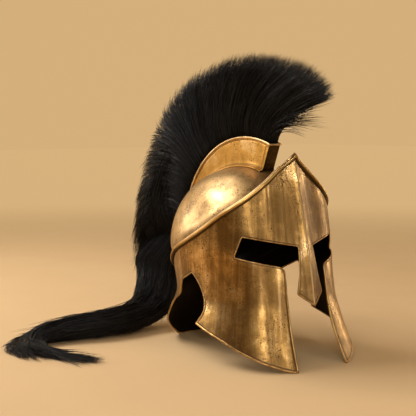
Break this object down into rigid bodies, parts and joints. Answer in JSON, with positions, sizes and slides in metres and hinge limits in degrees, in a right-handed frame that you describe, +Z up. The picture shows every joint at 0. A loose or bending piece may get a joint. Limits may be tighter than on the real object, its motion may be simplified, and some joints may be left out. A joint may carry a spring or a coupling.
{
  "type": "greek bronze helmet with horsehair crest",
  "caption": "Bronze helmet with a peaked brow, nasal, flared cheek plates, ear openings, neck guard and a long black horsehair crest that trails onto the floor.",
  "frame": {"origin": "on the floor under the foot of the neck guard, in the helmet's middle plane", "axes": "+Z up, the wearer faces -Y, +X is the wearer's left"},
  "size_m": [0.3897, 0.4545, 0.4262],
  "materials": {
    "bronze_skull": "aged bronze, soft polish with worn highlights",
    "bronze_sheet": "aged bronze, brushed up and down, fine pits and brown patina",
    "bronze_rim": "aged bronze, polished on the crest of the moulding",
    "bronze_box": "aged bronze, satin, dark patina at the front plate",
    "horsehair": "black horsehair, soft sheen"
  },
  "bodies": {
    "root": {"skull": "bronze_skull", "face_plate": "bronze_sheet", "brow_rim": "bronze_rim", "crest_box": "bronze_box", "horsehair_crest": "horsehair"}
  },
  "joints": []
}
